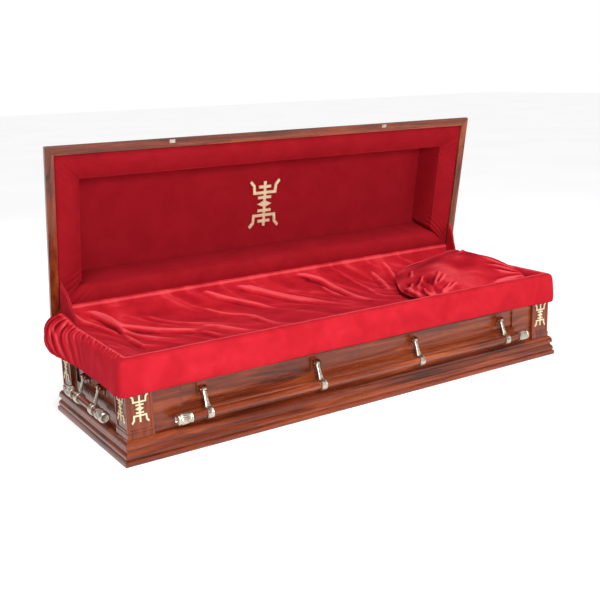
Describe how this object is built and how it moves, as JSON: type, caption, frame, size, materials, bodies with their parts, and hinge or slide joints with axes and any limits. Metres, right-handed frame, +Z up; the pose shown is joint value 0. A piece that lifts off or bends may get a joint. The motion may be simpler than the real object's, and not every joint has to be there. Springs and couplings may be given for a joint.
{
  "type": "funeral casket",
  "caption": "Full couch funeral casket with its lid open: panelled hardwood body on a moulded base, deep padded lid, velvet bed, pillow and draped skirt, swing bar handles.",
  "frame": {"origin": "middle of the underside, on the floor", "axes": "+X towards the head end along the length, -Y towards the front with the lid opening away from it, +Z up"},
  "size_m": [2.142, 0.8731, 1.05],
  "materials": {
    "mahogany": "high gloss clear varnish over red-brown stained hardwood",
    "velvet": "crimson velvet with a bright nap sheen",
    "cast_metal": "pale antique champagne, cast and lightly brushed",
    "gilt": "satin cream gold",
    "hinge_metal": "nickelled, satin",
    "plain_board": "bare sanded board"
  },
  "bodies": {
    "casket": {"base_rail_front": "mahogany", "base_rail_back": "mahogany", "base_rail_foot": "mahogany", "base_rail_head": "mahogany", "bottom_board": "plain_board", "corner_post_front_foot": "mahogany", "corner_post_front_head": "mahogany", "corner_post_back_foot": "mahogany", "corner_post_back_head": "mahogany", "wall_panel_front": "mahogany", "wall_panel_back": "mahogany", "wall_panel_foot": "mahogany", "wall_panel_head": "mahogany", "bed_board": "plain_board", "mattress": "velvet", "pillow": "velvet", "skirt_front": "velvet", "skirt_foot": "velvet", "skirt_head": "velvet", "hinge_leaf_body": "hinge_metal", "hinge_apron": "velvet", "gusset_foot": "velvet", "gusset_head": "velvet"},
    "lid": {"lid_rail_front": "mahogany", "lid_rail_back": "mahogany", "lid_rail_foot": "mahogany", "lid_rail_head": "mahogany", "lid_crown": "mahogany", "lid_roll_front": "velvet", "lid_roll_back": "velvet", "lid_roll_foot": "velvet", "lid_roll_head": "velvet", "lid_panel": "velvet", "lid_emblem": "gilt", "hinge_leaf_lid": "hinge_metal"},
    "handle_front": {"handle_bar_front": "mahogany", "handle_arm_front_1": "cast_metal", "handle_arm_front_2": "cast_metal", "handle_arm_front_3": "cast_metal", "handle_arm_front_4": "cast_metal", "handle_cap_front_left": "cast_metal", "handle_cap_front_right": "cast_metal"},
    "handle_back": {"handle_bar_back": "mahogany", "handle_arm_back_1": "cast_metal", "handle_arm_back_2": "cast_metal", "handle_arm_back_3": "cast_metal", "handle_arm_back_4": "cast_metal", "handle_cap_back_left": "cast_metal", "handle_cap_back_right": "cast_metal"},
    "handle_foot": {"handle_bar_foot": "mahogany", "handle_arm_foot_1": "cast_metal", "handle_arm_foot_2": "cast_metal", "handle_cap_foot_left": "cast_metal", "handle_cap_foot_right": "cast_metal"},
    "handle_head": {"handle_bar_head": "mahogany", "handle_arm_head_1": "cast_metal", "handle_arm_head_2": "cast_metal", "handle_cap_head_left": "cast_metal", "handle_cap_head_right": "cast_metal"}
  },
  "joints": [
    {"name": "lid_hinge", "type": "hinge", "parent": "casket", "child": "lid", "pos_m": [0, 0.345, 0.3744], "axis": [1, 0, 0], "range_deg": [0, 80.5], "deforming": ["hinge_apron", "gusset_foot", "gusset_head", "pillow"]},
    {"name": "handle_front_swing", "type": "hinge", "parent": "casket", "child": "handle_front", "pos_m": [0, -0.325, 0.208], "axis": [-1, 0, 0], "range_deg": [0, 67]},
    {"name": "handle_back_swing", "type": "hinge", "parent": "casket", "child": "handle_back", "pos_m": [0, 0.325, 0.208], "axis": [1, 0, 0], "range_deg": [0, 67]},
    {"name": "handle_foot_swing", "type": "hinge", "parent": "casket", "child": "handle_foot", "pos_m": [-1.025, 0, 0.208], "axis": [0, 1, 0], "range_deg": [0, 72]},
    {"name": "handle_head_swing", "type": "hinge", "parent": "casket", "child": "handle_head", "pos_m": [1.025, 0, 0.208], "axis": [0, -1, 0], "range_deg": [0, 72]}
  ]
}
